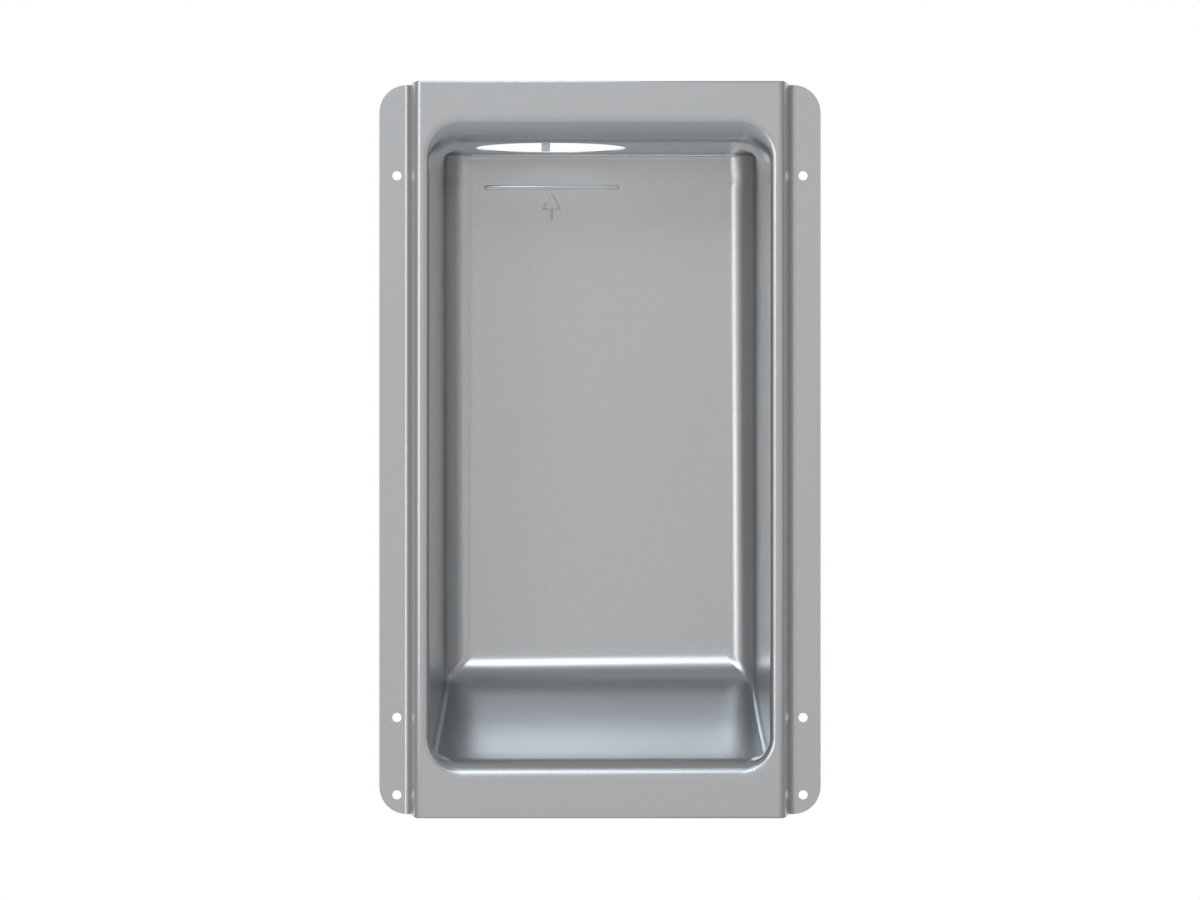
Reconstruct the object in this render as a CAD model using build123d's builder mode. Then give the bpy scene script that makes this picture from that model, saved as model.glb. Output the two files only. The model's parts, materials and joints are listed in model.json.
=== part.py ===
"""Recessed dryer vent box, drawn in one piece from thin aluminised steel sheet.

Millimetres. +X is to the right and +Z up, seen from the room. +Y points into the wall.
The back of the two side flanges lies on the studs at Y = 0. The origin is the centre of
the four main screw holes there.
"""

import os
from math import cos, pi, radians, sin, sqrt, tan

from build123d import *

# Sheet and overall sizes
sheet = 0.85
overall_width = 304.8
face_height = 508.0
stand_off = 12.7

# Side flanges, a little shorter than the raised face
flange_width = 25.7
flange_setback = 2.2
flange_corner = 19.0

# Screw holes, measured in from the edges of the flanges
screw_hole = 6.35
screw_edge = 12.1
top_screw_edge = 62.7
low_screw_edge = 13.3
low_screw_step = 53.4

# Raised face: steps down to the flanges, short returns at the top and the bottom
step_slope = 25.0
return_slope = 2.0
return_depth = 6.7
crest_radius = 6.0
crest_flat = 0.48
foot_radius = 5.0
return_radius = 1.6
corner_bevel = 7.3

# Recess: rims above and below its mouth, drafts, lips and bends
rim_top = 41.4
rim_low = 37.1
side_draft = 3.3
top_draft = 1.0
ramp_slope = 21.0
ramp_sag = 2.5
lip_side = 5.0
lip_top = 19.0
lip_low = 14.5
back_bend = 20.0
scoop_bend = 26.0
corner_back_top = 1.5
corner_mouth_low = 22.0
corner_back_low = 4.0

# Duct port in the roof of the recess, behind its lip, with a small stop tab on its front rim
port_diameter = 104.8
port_side_gap = 30.5
port_gap = 1.4
tab_width = 6.0
tab_length = 6.0
tab_shift = -3.0
tab_corner = 0.8
tab_clearance = 0.3

# Pressed line on the back wall that shows where the pipe ends
line_inset = 4.4
line_width = 3.2
line_height = 0.8
line_drop = 25.6
line_edge = 0.5

# Steps in the recess's lip, walls and back bends, and spare length for cutting tools
lip_steps = 11
wall_steps = 5
bend_steps = 7
overrun = 20.0

face_width = overall_width - 2 * flange_width
flange_height = face_height - 2 * flange_setback
screw_span_x = overall_width - 2 * screw_edge
screw_span_z = flange_height - top_screw_edge - low_screw_edge - low_screw_step
face_drop = flange_height / 2 - top_screw_edge - screw_span_z / 2
face_y = -stand_off
back_y = face_y + lip_top + port_gap + port_diameter + back_bend
box_depth = back_y + sheet
crest_run = crest_radius * tan(radians(90 - step_slope) / 2)
mouth_side = face_width / 2 - crest_run - crest_flat - lip_side
mouth_top = face_height / 2 - face_drop - rim_top
mouth_low = face_height / 2 + face_drop - rim_low
corner_top = back_bend + corner_back_top
port_x = port_side_gap + port_diameter / 2 - mouth_side
line_length = port_diameter - 2 * line_inset
lip_end = face_y + max(lip_side, lip_top, lip_low)
bend_start = back_y - max(back_bend, scoop_bend)
port_y = back_y - back_bend - port_diameter / 2
ramp_front = face_y + lip_low * (1 - sin(radians(ramp_slope)))
ramp_rear = back_y - scoop_bend * (1 - sin(radians(ramp_slope)))
step_run = (stand_off - sheet) * tan(radians(step_slope))
return_run = (stand_off - sheet) * tan(radians(return_slope))
foot_half = face_width / 2 + step_run


def reach(y, skin, mouth, draft, lip, bend):
    """Distance from the axis to one wall at depth y, on the face that lies skin behind the front."""
    slope = radians(draft)
    lip_y = face_y + lip
    lip_reach = mouth - lip * tan(slope) + lip / cos(slope)
    lip_r = lip - skin
    bend_y = back_y - bend
    bend_reach = mouth - (bend_y - face_y) * tan(slope) - bend / cos(slope)
    bend_r = bend + skin
    if y < lip_y - lip_r * sin(slope):
        return lip_reach - sqrt(max(lip_r**2 - (lip_y - y) ** 2, 0.0))
    if y > bend_y + bend_r * sin(slope):
        return bend_reach + sqrt(max(bend_r**2 - (y - bend_y) ** 2, 0.0))
    return mouth - (y - face_y) * tan(slope) + skin / cos(slope)


def roof_height(y):
    """Height of the recess's roof at depth y, on its lower face."""
    return reach(y, 0, mouth_top, top_draft, lip_top, back_bend)


def recess_section(y, skin):
    """Outline of the recess at depth y, a rectangle with rounded corners."""
    side = reach(y, skin, mouth_side, side_draft, lip_side, back_bend)
    top = reach(y, skin, mouth_top, top_draft, lip_top, back_bend)
    along = min(max((y - ramp_front) / (ramp_rear - ramp_front), 0.0), 1.0)
    sag = ramp_sag * (1 - cos(2 * pi * along)) / 2
    low = reach(y, skin, mouth_low, ramp_slope, lip_low, scoop_bend) + sag
    flare = side - (mouth_side - (y - face_y) * tan(radians(side_draft)))
    inward = min((y - face_y) / (lip_end - face_y), 1.0)
    corner_low = corner_mouth_low + (corner_back_low - corner_mouth_low) * inward
    with BuildSketch(Plane.XZ.offset(-y)) as outline:
        with Locations((0, (top - low) / 2)):
            Rectangle(2 * side, top + low)
        fillet(outline.vertices().group_by(Axis.Y)[-1], corner_top + flare)
        fillet(outline.vertices().group_by(Axis.Y)[0], corner_low + max(flare, skin))
    return outline.sketch


def recess(skin):
    """The hollow of the recess: rolled lip, drafted walls with the ramp, and bends to the back."""
    front = face_y + skin
    back = back_y + skin
    lip_turns = [pi / 2 * step / lip_steps for step in range(lip_steps + 1)]
    bend_turns = [pi / 2 * step / bend_steps for step in range(bend_steps + 1)]
    depths = [front + (lip_end - front) * (1 - cos(turn)) for turn in lip_turns]
    depths += [lip_end + (bend_start - lip_end) * step / wall_steps for step in range(1, wall_steps)]
    depths += [bend_start + (back - bend_start) * sin(turn) for turn in bend_turns]
    with BuildPart() as hollow:
        loft([recess_section(y, skin) for y in depths], ruled=True)
    return hollow.part


def face_plane(y):
    """Plane of the face's own centre at depth y, its normal towards the room."""
    return Plane((0, y, -face_drop), x_dir=(1, 0, 0), z_dir=(0, -1, 0))


def former(skin, spare):
    """Solid stock behind the flanges and the raised face, its front moved back by skin."""
    front = face_y + skin
    flange = skin - sheet
    rear = box_depth + spare
    side = overall_width / 2 + spare
    crest = face_width / 2 - skin / cos(radians(step_slope)) + skin * tan(radians(step_slope))
    edge = face_height / 2 - skin / cos(radians(return_slope)) + skin * tan(radians(return_slope))
    past = rear + overrun
    past_edge = edge + (past - front) * tan(radians(return_slope))
    with BuildPart() as form:
        with BuildSketch(Plane.XY) as section:
            Polygon(
                (-side, rear),
                (-side, flange),
                (-crest - step_run, flange),
                (-crest, front),
                (crest, front),
                (crest + step_run, flange),
                (side, flange),
                (side, rear),
                align=None,
            )
            feet = section.vertices().group_by(Axis.Y)[1].sort_by(Axis.X)[1:-1]
            fillet(feet, foot_radius + skin)
            fillet(section.vertices().group_by(Axis.Y)[0], crest_radius - skin)
        extrude(amount=face_height, both=True)
        with BuildSketch(Plane.YZ) as upright:
            with Locations((0, -face_drop)):
                Polygon(
                    (past, past_edge),
                    (front, edge),
                    (front, -edge),
                    (past, -past_edge),
                    align=None,
                )
            fillet(upright.vertices().group_by(Axis.X)[0], return_radius - skin)
        extrude(amount=overall_width, both=True, mode=Mode.INTERSECT)
    return form.part


front_form = former(0, overrun)
back_form = former(sheet, 2 * overrun)
front_hollow = recess(0)
back_hollow = recess(sheet)

with BuildPart() as recess_walls:
    add(back_hollow)
    add(front_hollow, mode=Mode.SUBTRACT)

with BuildPart() as vent_box:
    add(front_form)
    add(back_form, mode=Mode.SUBTRACT)
    add(front_hollow, mode=Mode.SUBTRACT)
    add(recess_walls.part)

    # Trimmed outline: flanges with round corners, the face a little taller between them
    with BuildSketch(face_plane(face_y - overrun)):
        RectangleRounded(overall_width, flange_height, flange_corner)
        with BuildLine():
            Polyline(
                (0, face_height / 2 + return_run),
                (foot_half - corner_bevel, face_height / 2 + return_run),
                (foot_half, flange_height / 2),
                (foot_half, 0),
            )
            mirror(about=Plane.YZ)
            mirror(about=Plane.XZ)
        make_face()
    extrude(amount=-(stand_off + box_depth + 2 * overrun), mode=Mode.INTERSECT)

    # Returns cut short at the top and the bottom of the face
    with BuildSketch(face_plane(face_y + return_depth)):
        with GridLocations(0, flange_height + overrun, 1, 2):
            Rectangle(overall_width, overrun)
    extrude(amount=-(box_depth + 2 * overrun), mode=Mode.SUBTRACT)

    # Screw holes: four main ones and a lower pair
    with BuildSketch(Plane.XZ.offset(stand_off)):
        with GridLocations(screw_span_x, screw_span_z, 2, 2):
            Circle(screw_hole / 2)
        with Locations((0, -screw_span_z / 2 - low_screw_step)):
            with GridLocations(screw_span_x, 0, 2, 1):
                Circle(screw_hole / 2)
    extrude(amount=-2 * stand_off, mode=Mode.SUBTRACT)

    # Stop tab, bent down from the front rim of the port
    tab_y = port_y - port_diameter / 2 - tab_clearance
    with BuildSketch(Plane.XZ.offset(-tab_y)) as tab:
        with Locations((port_x + tab_shift, roof_height(tab_y) + sheet / 2)):
            Rectangle(tab_width, tab_length + sheet / 2, align=(Align.CENTER, Align.MAX))
        fillet(tab.vertices().group_by(Axis.Y)[0], tab_corner)
    extrude(amount=sheet)

    # Round port for the pipe, cut square through the flat of the roof
    roof_slope = radians(top_draft)
    port_centre = (port_x, port_y, roof_height(port_y))
    with BuildSketch(Plane(port_centre, x_dir=(1, 0, 0), z_dir=(0, sin(roof_slope), cos(roof_slope)))):
        Circle(port_diameter / 2)
    extrude(amount=overrun, both=True, mode=Mode.SUBTRACT)

    # Pressed line: raised on the front of the back wall, hollow behind
    with BuildSketch(Plane.XZ.offset(-back_y)):
        with Locations((port_x, mouth_top - line_drop)):
            SlotOverall(line_length, line_width)
    extrude(amount=line_height)
    line_top = vent_box.faces().filter_by(Axis.Y).filter_by_position(
        Axis.Y, back_y - line_height, back_y - line_height
    )
    chamfer(line_top.edges(), line_edge)
    with BuildSketch(Plane.XZ.offset(-box_depth)):
        with Locations((port_x, mouth_top - line_drop)):
            SlotOverall(line_length - 2 * sheet, line_width - 2 * sheet)
    extrude(amount=line_height, mode=Mode.SUBTRACT)

os.makedirs("parts", exist_ok=True)
vent_box.part.label = "vent_box"
export_step(vent_box.part, "parts/vent_box.step")
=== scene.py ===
"""Studio view of a recessed dryer vent box, drawn in one piece from aluminised steel sheet.

Metres, in the part's own frame: +X right and +Z up seen from the room, +Y into the wall.
"""

import json
import logging
import math
from dataclasses import dataclass, field
from enum import Enum
from typing import Any

import bmesh
import bpy
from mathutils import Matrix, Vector

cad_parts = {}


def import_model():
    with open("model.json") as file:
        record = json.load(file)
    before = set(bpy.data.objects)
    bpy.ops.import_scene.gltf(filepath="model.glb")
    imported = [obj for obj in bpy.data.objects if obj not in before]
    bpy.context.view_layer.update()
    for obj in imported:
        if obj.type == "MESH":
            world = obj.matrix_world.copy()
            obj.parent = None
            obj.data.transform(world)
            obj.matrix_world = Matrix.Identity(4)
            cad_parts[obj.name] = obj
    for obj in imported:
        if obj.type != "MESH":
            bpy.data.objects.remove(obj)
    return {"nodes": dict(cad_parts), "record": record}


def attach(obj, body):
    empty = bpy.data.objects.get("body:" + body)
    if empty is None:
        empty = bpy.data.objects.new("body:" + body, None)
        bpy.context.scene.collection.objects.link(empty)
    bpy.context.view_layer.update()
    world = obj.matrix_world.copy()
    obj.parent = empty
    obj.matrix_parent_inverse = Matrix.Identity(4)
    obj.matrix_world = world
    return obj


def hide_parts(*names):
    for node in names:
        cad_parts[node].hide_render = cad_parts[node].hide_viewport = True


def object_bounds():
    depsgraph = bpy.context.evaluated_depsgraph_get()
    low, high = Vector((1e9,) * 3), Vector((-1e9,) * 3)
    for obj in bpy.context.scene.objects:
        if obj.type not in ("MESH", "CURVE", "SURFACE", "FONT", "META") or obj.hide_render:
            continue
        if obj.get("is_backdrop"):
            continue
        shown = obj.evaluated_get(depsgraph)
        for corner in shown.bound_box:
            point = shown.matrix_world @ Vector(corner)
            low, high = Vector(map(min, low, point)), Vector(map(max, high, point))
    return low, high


log = logging.getLogger("vent_box")

Colour = tuple[float, float, float]
Point = tuple[float, float, float]
Plane = tuple[Vector, Vector]

MM = 0.001
SHEET_THICKNESS = 0.85 * MM


class Node(str, Enum):
    """The CAD node, the body and the mount that the scene uses, and the name of the slot."""

    SHEET = "vent_box"
    BODY = "root"
    SLOT = "aluminised_steel"
    PORT = "duct_port"


@dataclass(frozen=True)
class AluminisedSteel:
    """Satin aluminised sheet: fine spangle, faint cloudiness and a slow waviness from drawing."""

    name: str = "aluminised_steel"
    light_tone: Colour = (0.70, 0.71, 0.715)
    dark_tone: Colour = (0.60, 0.61, 0.62)
    roughness_low: float = 0.277
    roughness_high: float = 0.3
    spangle_scale: float = 700.0
    spangle_detail: float = 3.0
    cloud_scale: float = 9.0
    cloud_detail: float = 2.0
    cloud_low: float = 0.3
    cloud_high: float = 0.7
    grain_depth: float = 0.004 * MM
    wave_depth: float = 0.015 * MM

    def material(self) -> bpy.types.Material:
        """Return the finish as a procedural material in object space."""
        made = bpy.data.materials.new(self.name)
        made.use_nodes = True
        tree = made.node_tree
        shader = tree.nodes["Principled BSDF"]
        shader.inputs["Metallic"].default_value = 1.0
        place = tree.nodes.new("ShaderNodeTexCoord")
        spangle = self._noise(tree, place, self.spangle_scale, self.spangle_detail)
        cloud = self._noise(tree, place, self.cloud_scale, self.cloud_detail)
        tone = tree.nodes.new("ShaderNodeMix")
        tone.data_type = "RGBA"
        tone.inputs["A"].default_value = (*self.dark_tone, 1.0)
        tone.inputs["B"].default_value = (*self.light_tone, 1.0)
        tree.links.new(spangle.outputs["Fac"], tone.inputs["Factor"])
        tree.links.new(tone.outputs["Result"], shader.inputs["Base Color"])
        gloss = tree.nodes.new("ShaderNodeMapRange")
        gloss.interpolation_type = "SMOOTHSTEP"
        gloss.inputs["From Min"].default_value = self.cloud_low
        gloss.inputs["From Max"].default_value = self.cloud_high
        gloss.inputs["To Min"].default_value = self.roughness_low
        gloss.inputs["To Max"].default_value = self.roughness_high
        tree.links.new(cloud.outputs["Fac"], gloss.inputs["Value"])
        tree.links.new(gloss.outputs["Result"], shader.inputs["Roughness"])
        wave = self._bump(tree, cloud, self.wave_depth)
        grain = self._bump(tree, spangle, self.grain_depth)
        tree.links.new(wave.outputs["Normal"], grain.inputs["Normal"])
        tree.links.new(grain.outputs["Normal"], shader.inputs["Normal"])
        return made

    @staticmethod
    def _noise(
        tree: bpy.types.NodeTree, place: bpy.types.Node, scale: float, detail: float
    ) -> bpy.types.Node:
        """Return a noise texture in object space.

        Args:
            tree: node tree of the material.
            place: texture coordinates.
            scale: how fine the noise is.
            detail: how many finer layers it has.

        Returns:
            The texture node.
        """
        noise = tree.nodes.new("ShaderNodeTexNoise")
        noise.inputs["Scale"].default_value = scale
        noise.inputs["Detail"].default_value = detail
        tree.links.new(place.outputs["Object"], noise.inputs["Vector"])
        return noise

    @staticmethod
    def _bump(
        tree: bpy.types.NodeTree, height: bpy.types.Node, depth: float
    ) -> bpy.types.Node:
        """Return a node that turns a texture into fine relief.

        Args:
            tree: node tree of the material.
            height: texture that gives the height.
            depth: depth of the relief in metres.

        Returns:
            The bump node.
        """
        bump = tree.nodes.new("ShaderNodeBump")
        bump.inputs["Strength"].default_value = 1.0
        bump.inputs["Distance"].default_value = depth
        tree.links.new(height.outputs["Fac"], bump.inputs["Height"])
        return bump


@dataclass
class RoofBend:
    """Tight bend between the roof of the recess and its back wall, made from the CAD's wide one.

    The wide bend is pushed out, ray by ray from its own centre, to the roof and the back wall.
    At the two upper corners it runs into the side bends, which stay wide. The core is the corner
    radius left between roof and side wall once the bend's own is taken off, and half_width is
    where it ends. Over the run-in, the edges between roof and side walls ease from round to
    tight. Rows and meridians are degrees around the roof bend and around the side bends.
    """

    wide: float = 20.0 * MM
    tight: float = 3.0 * MM
    sheet: float = SHEET_THICKNESS
    core: float = 1.5 * MM
    half_width: float = 90.15 * MM
    roof_draft: float = math.radians(1.0)
    side_draft: float = math.radians(3.3)
    run_in: float = 80.0 * MM
    rows: tuple[float, ...] = (36.0, 39.0, 41.0, 43.0, 45.0, 47.0, 49.0, 51.0, 54.0)
    meridians: tuple[float, ...] = (9.0, 18.0, 27.0, 36.0, 45.0, 54.0, 63.0, 72.0, 81.0)
    run_in_cuts: int = 16
    margin: float = 3.0 * MM
    shortest_ray: float = 0.01 * MM
    cut_snap: float = 1e-4 * MM

    def shape(self, work: bmesh.types.BMesh, port: Vector, back: float) -> None:
        """Cut finer rows into the bend and move its points out.

        Args:
            work: mesh of the sheet, changed in place.
            port: centre of the duct port, on the roof.
            back: depth of the rear of the back wall.
        """
        start = back - self.sheet - self.wide
        roof = port.z - (start - port.y) * math.tan(self.roof_draft)
        centre = Vector((0.0, start, roof - self.wide))
        for place, normal in self._cuts(centre):
            bmesh.ops.bisect_plane(
                work,
                geom=self._bend_parts(work, centre),
                dist=self.cut_snap,
                plane_co=place,
                plane_no=normal,
            )
        work.normal_update()
        for vert in work.verts:
            vert.co = self._pushed(vert.co, vert.normal, centre)

    def _cuts(self, centre: Vector) -> list[Plane]:
        """Return the planes that give the bend enough rows to be tight.

        Args:
            centre: middle of the wide bend's axis.

        Returns:
            The planes, each a point and a normal.
        """
        cuts: list[Plane] = []
        for skin in (0.0, self.sheet):
            for row in self.rows:
                rise = (self.wide + skin) * math.cos(math.radians(row))
                cuts.append((centre + Vector((0.0, 0.0, rise)), Vector((0.0, 0.0, 1.0))))
        for step in range(self.run_in_cuts + 1):
            ahead = self.run_in * step / self.run_in_cuts
            cuts.append((centre - Vector((0.0, ahead, 0.0)), Vector((0.0, 1.0, 0.0))))
        for side in (-1.0, 1.0):
            axis = centre + Vector((side * self.half_width, 0.0, 0.0))
            for meridian in self.meridians:
                turn = math.radians(meridian)
                cuts.append((axis, Vector((side * math.cos(turn), -math.sin(turn), 0.0))))
        return cuts

    def _bend_parts(self, work: bmesh.types.BMesh, centre: Vector) -> list[Any]:
        """Return the part of the sheet that is cut finer.

        Args:
            work: mesh of the sheet.
            centre: middle of the wide bend's axis.

        Returns:
            Faces, edges and points of the wide bend and of its run-in at the sides.
        """
        front = centre.y - self.run_in - self.margin
        low = centre.z - self.core
        faces = [
            face
            for face in work.faces
            if all(vert.co.y > front and vert.co.z > low for vert in face.verts)
        ]
        edges = {edge for face in faces for edge in face.edges}
        verts = {vert for face in faces for vert in face.verts}
        return [*faces, *edges, *verts]

    def _pushed(self, place: Vector, normal: Vector, centre: Vector) -> Vector:
        """Return where one point of the sheet goes on the tight form.

        Args:
            place: the point.
            normal: normal of the sheet there, which tells its front from its back.
            centre: middle of the wide bend's axis.

        Returns:
            The new place, or the old one for a point outside the bend.
        """
        side = math.copysign(1.0, place.x)
        depth = place.y - centre.y
        ahead = min(depth, 0.0)
        deep = max(depth, 0.0)
        core = self.core + deep * math.tan(self.side_draft)
        rise = place.z - centre.z + core + ahead * math.tan(self.roof_draft)
        across = side * place.x - self.half_width + core + ahead * math.tan(self.side_draft)
        if depth < -self.run_in or rise <= core:
            return place
        # In an upper corner the ray starts on the core's arc, elsewhere on the bend's own axis.
        if across > 0.0:
            spread = math.hypot(across, rise)
            reach = max(spread - core, 0.0) / spread
            ray = Vector((side * across * reach, deep, rise * reach))
        else:
            ray = Vector((0.0, deep, rise - core))
        out = math.hypot(ray.x, ray.y)
        if out < self.shortest_ray:
            return place
        skin = self.sheet if normal.dot(ray) > 0.0 else 0.0
        grow = self._reach(out / ray.length, ray.z / ray.length, skin) / ray.length - 1.0
        return place + ray * grow * eased(1.0 + ahead / self.run_in)

    def _reach(self, out: float, up: float, skin: float) -> float:
        """Return how far a ray from the wide bend's centre runs to the tight form.

        Args:
            out: share of the ray that points to the back wall or the side.
            up: share of the ray that points to the roof.
            skin: how far behind the front of the sheet the point lies.

        Returns:
            Length of the ray.
        """
        size = self.wide + skin
        bend = self.tight + skin
        flat = size - bend
        if up * flat >= out * size:
            return size / up
        if out * flat >= up * size:
            return size / out
        middle = flat * (out + up)
        return middle + math.sqrt(max(middle**2 - 2 * flat**2 + bend**2, 0.0))


@dataclass
class DrawnSheet:
    """The pressing itself: the CAD mesh with a tight roof bend, shaded smooth with crisp edges."""

    name: str = "drawn_sheet"
    weld: float = 0.002 * MM
    crease: float = math.radians(50.0)
    roof_bend: RoofBend = field(default_factory=RoofBend)

    def build(
        self, node: bpy.types.Object, port: Vector, back: float, finish: bpy.types.Material
    ) -> bpy.types.Object:
        """Make the sheet from the CAD node that it stands for.

        Args:
            node: CAD node of the vent box.
            port: centre of the duct port, on the roof.
            back: depth of the rear of the back wall.
            finish: material of the sheet.

        Returns:
            The sheet, riding on the part's only body.
        """
        mesh = bpy.data.meshes.new(self.name)
        work = bmesh.new()
        work.from_mesh(node.data)
        bmesh.ops.remove_doubles(work, verts=work.verts, dist=self.weld)
        self.roof_bend.shape(work, port, back)
        for edge in work.edges:
            edge.smooth = edge.calc_face_angle(math.pi) < self.crease
        for face in work.faces:
            face.smooth = True
        work.to_mesh(mesh)
        work.free()
        mesh.materials.append(finish)
        sheet = bpy.data.objects.new(self.name, mesh)
        bpy.context.scene.collection.objects.link(sheet)
        normals = sheet.modifiers.new("sheet_normals", "WEIGHTED_NORMAL")
        normals.mode = "FACE_AREA"
        normals.keep_sharp = True
        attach(sheet, Node.BODY.value)
        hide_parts(Node.SHEET.value)
        return sheet


@dataclass
class PressedArrow:
    """Outline arrow pressed into the back wall below the pipe-end line, pointing up at it."""

    name: str = "pressed_arrow"
    tip_drop: float = 28.6 * MM
    head_height: float = 11.4 * MM
    head_width: float = 12.0 * MM
    stem_length: float = 7.5 * MM
    rib: float = 0.8 * MM
    rib_steps: int = 4
    sheet: float = SHEET_THICKNESS

    def build(
        self, port: Vector, back: float, finish: bpy.types.Material
    ) -> bpy.types.Object:
        """Make the arrow as a round rib, half sunk in the sheet.

        Args:
            port: centre of the duct port.
            back: depth of the rear of the back wall.
            finish: material of the sheet.

        Returns:
            The arrow, riding on the part's only body.
        """
        wall = back - self.sheet
        tip = port.z - self.tip_drop
        base = tip - self.head_height
        foot = base - self.stem_length
        half_head = self.head_width / 2
        head = [(0.0, tip), (half_head, base), (-half_head, base)]
        stem = [(0.0, base), (0.0, foot)]
        curve = bpy.data.curves.new(self.name, "CURVE")
        curve.dimensions = "3D"
        curve.bevel_depth = self.rib
        curve.bevel_resolution = self.rib_steps
        for stroke, closed in ((head, True), (stem, False)):
            spline = curve.splines.new("POLY")
            spline.points.add(len(stroke) - 1)
            spline.use_cyclic_u = closed
            for point, (across, height) in zip(spline.points, stroke):
                point.co = (port.x + across, wall, height, 1.0)
        drawn = bpy.data.objects.new(self.name, curve)
        mesh = bpy.data.meshes.new_from_object(drawn)
        bpy.data.objects.remove(drawn)
        mesh.materials.append(finish)
        mesh.shade_smooth()
        arrow = bpy.data.objects.new(self.name, mesh)
        bpy.context.scene.collection.objects.link(arrow)
        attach(arrow, Node.BODY.value)
        return arrow


@dataclass(frozen=True)
class Softbox:
    """A soft studio lamp that points at the object's centre."""

    name: str
    place: Point
    width: float
    height: float
    power: float
    colour: Colour = (1.0, 1.0, 1.0)

    def build(self, target: Vector) -> None:
        """Hang the lamp and turn it to the target."""
        lamp = bpy.data.lights.new(self.name, "AREA")
        lamp.shape = "RECTANGLE"
        lamp.size = self.width
        lamp.size_y = self.height
        lamp.energy = self.power
        lamp.color = self.colour
        made = bpy.data.objects.new(self.name, lamp)
        made.location = self.place
        aim = target - Vector(self.place)
        made.rotation_euler = aim.to_track_quat("-Z", "Y").to_euler()
        made.visible_camera = False
        bpy.context.scene.collection.objects.link(made)


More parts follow.
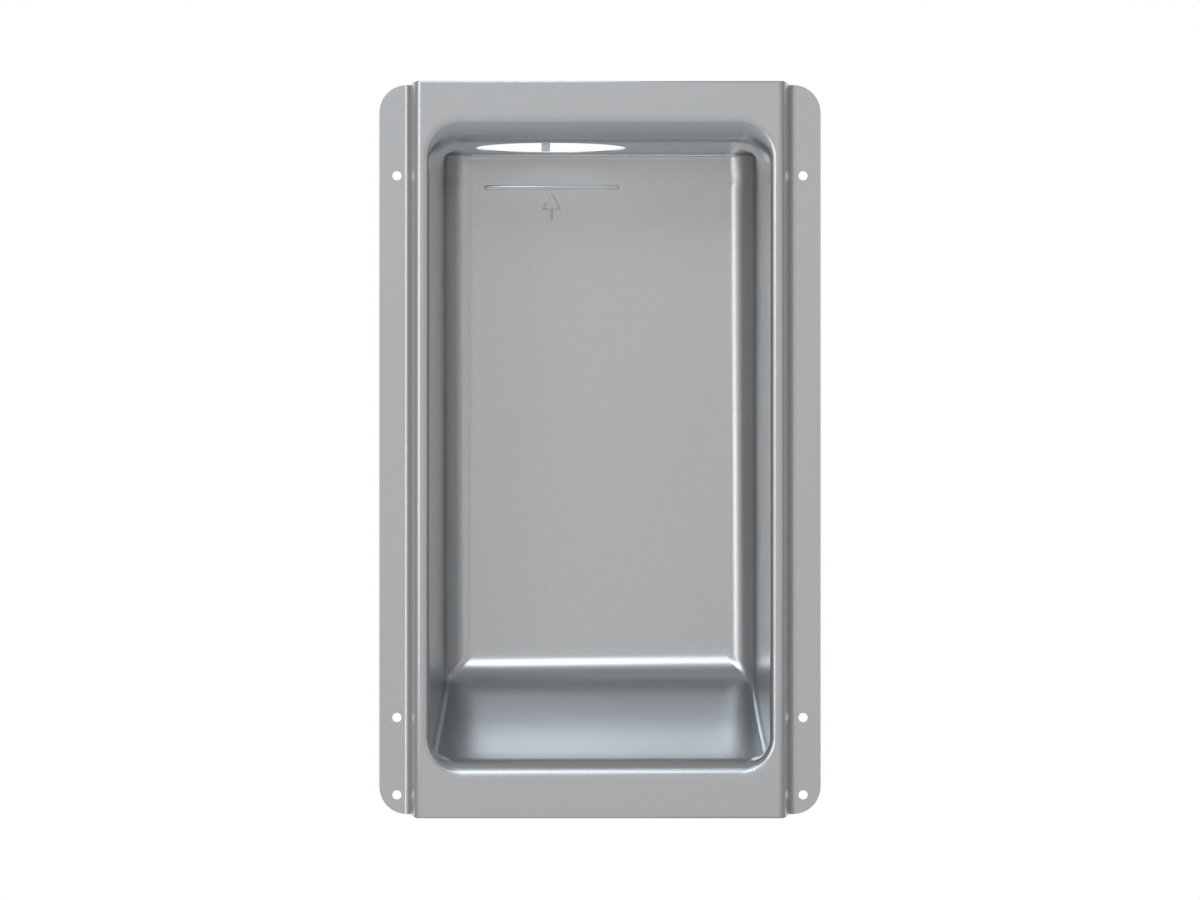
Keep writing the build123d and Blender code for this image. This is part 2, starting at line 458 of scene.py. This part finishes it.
@dataclass
class Studio:
    """Plain white studio: pale floor well below the object, soft lamps and a white background."""

    floor_drop: float = 0.35
    floor_radius: float = 2.2
    floor_segments: int = 96
    floor_colour: Colour = (0.75, 0.75, 0.75)
    floor_roughness: float = 0.9
    ambient: float = 0.34
    front_level: float = 0.30
    front_end: float = 0.1
    rear_start: float = 0.5
    lamps: tuple[Softbox, ...] = (
        Softbox("key", (-0.7, -2.6, 1.74), 2.0, 1.05, 23.5, (0.82, 0.91, 1.0)),
        Softbox("left_strip", (-1.7, -2.6, 0.0), 0.7, 2.4, 10.0),
        Softbox("left_fill", (-2.6, -1.7, 0.0), 1.6, 2.4, 2.8),
        Softbox("right_fill", (2.0, -2.9, 0.0), 2.0, 2.4, 4.6),
        Softbox("front_fill", (0.0, -4.6, -0.4), 2.4, 3.2, 8.4),
    )

    def build(self, low: Vector, high: Vector) -> None:
        """Set up floor, lamps and world around the object.

        Args:
            low: lowest corner of the object.
            high: highest corner of the object.
        """
        centre = (low + high) / 2
        self._floor(centre, low.z - self.floor_drop)
        for lamp in self.lamps:
            lamp.build(centre)
        self._world()

    def _floor(self, centre: Vector, height: float) -> None:
        """Lay a round pale floor.

        Args:
            centre: centre of the object.
            height: height of the floor.
        """
        mesh = bpy.data.meshes.new("floor")
        work = bmesh.new()
        bmesh.ops.create_circle(
            work, cap_ends=True, segments=self.floor_segments, radius=self.floor_radius
        )
        work.to_mesh(mesh)
        work.free()
        paint = bpy.data.materials.new("floor")
        paint.use_nodes = True
        shader = paint.node_tree.nodes["Principled BSDF"]
        shader.inputs["Base Color"].default_value = (*self.floor_colour, 1.0)
        shader.inputs["Roughness"].default_value = self.floor_roughness
        mesh.materials.append(paint)
        floor = bpy.data.objects.new("floor", mesh)
        floor.location = (centre.x, centre.y, height)
        bpy.context.scene.collection.objects.link(floor)
        floor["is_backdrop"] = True

    def _world(self) -> None:
        """Make the background white for the camera.

        Gloss sees the same white behind the object and a grey room in front of it.
        """
        world = bpy.data.worlds.new("studio")
        bpy.context.scene.world = world
        world.use_nodes = True
        tree = world.node_tree
        path = tree.nodes.new("ShaderNodeLightPath")
        place = tree.nodes.new("ShaderNodeTexCoord")
        split = tree.nodes.new("ShaderNodeSeparateXYZ")
        tree.links.new(place.outputs["Generated"], split.inputs["Vector"])
        room = tree.nodes.new("ShaderNodeMapRange")
        room.interpolation_type = "SMOOTHSTEP"
        room.inputs["From Min"].default_value = self.front_end
        room.inputs["From Max"].default_value = self.rear_start
        room.inputs["To Min"].default_value = self.front_level
        room.inputs["To Max"].default_value = 1.0
        tree.links.new(split.outputs["Y"], room.inputs["Value"])
        sharp = tree.nodes.new("ShaderNodeMath")
        sharp.operation = "MAXIMUM"
        tree.links.new(path.outputs["Is Glossy Ray"], sharp.inputs[0])
        tree.links.new(path.outputs["Is Transmission Ray"], sharp.inputs[1])
        indirect = self._choose(tree, sharp.outputs["Value"])
        indirect.inputs["A"].default_value = self.ambient
        tree.links.new(room.outputs["Result"], indirect.inputs["B"])
        seen = self._choose(tree, path.outputs["Is Camera Ray"])
        seen.inputs["B"].default_value = 1.0
        tree.links.new(indirect.outputs["Result"], seen.inputs["A"])
        background = tree.nodes["Background"]
        background.inputs["Color"].default_value = (1.0, 1.0, 1.0, 1.0)
        tree.links.new(seen.outputs["Result"], background.inputs["Strength"])

    @staticmethod
    def _choose(
        tree: bpy.types.NodeTree, factor: bpy.types.NodeSocket
    ) -> bpy.types.Node:
        """Return a number mix driven by factor."""
        mix = tree.nodes.new("ShaderNodeMix")
        mix.data_type = "FLOAT"
        tree.links.new(factor, mix.inputs["Factor"])
        return mix


@dataclass
class PhotoCamera:
    """Long lens straight in front of the box, as in the photograph."""

    distance: float = 4.0
    lens: float = 174.24
    sensor: float = 36.0
    rise: float = -2.3 * MM

    def build(self, low: Vector) -> None:
        """Set the scene camera in front of the face, whose lowest corner is given."""
        data = bpy.data.cameras.new("camera")
        data.lens = self.lens
        data.sensor_width = self.sensor
        camera = bpy.data.objects.new("camera", data)
        camera.location = (0.0, low.y - self.distance, self.rise)
        camera.rotation_euler = (math.pi / 2, 0.0, 0.0)
        bpy.context.scene.collection.objects.link(camera)
        bpy.context.scene.camera = camera


def eased(share: float) -> float:
    """Return a share from 0 to 1 with a soft start and a soft end."""
    return share * share * (3.0 - 2.0 * share)


def mount_place(frame: dict[str, Any], name: str) -> Vector:
    """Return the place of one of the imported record's mounts."""
    mount = next(m for m in frame["record"]["mounts"] if m["name"] == name)
    return Vector(mount["pos_m"])


def main() -> None:
    """Build the object, then the studio around it."""
    logging.basicConfig(level=logging.INFO, format="%(message)s")
    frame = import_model()
    cad_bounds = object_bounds()
    low, high = cad_bounds
    steel = AluminisedSteel().material()
    port = mount_place(frame, Node.PORT.value)
    pieces = [
        DrawnSheet().build(frame["nodes"][Node.SHEET.value], port, high.y, steel),
        PressedArrow().build(port, high.y, steel),
    ]
    for piece in pieces:
        log.info("%s: %d faces", piece.name, len(piece.data.polygons))
    Studio().build(low, high)
    PhotoCamera().build(low)
    bpy.context.scene.view_settings.view_transform = "Standard"
    bpy.context.view_layer.update()


if __name__ == "__main__":
    main()
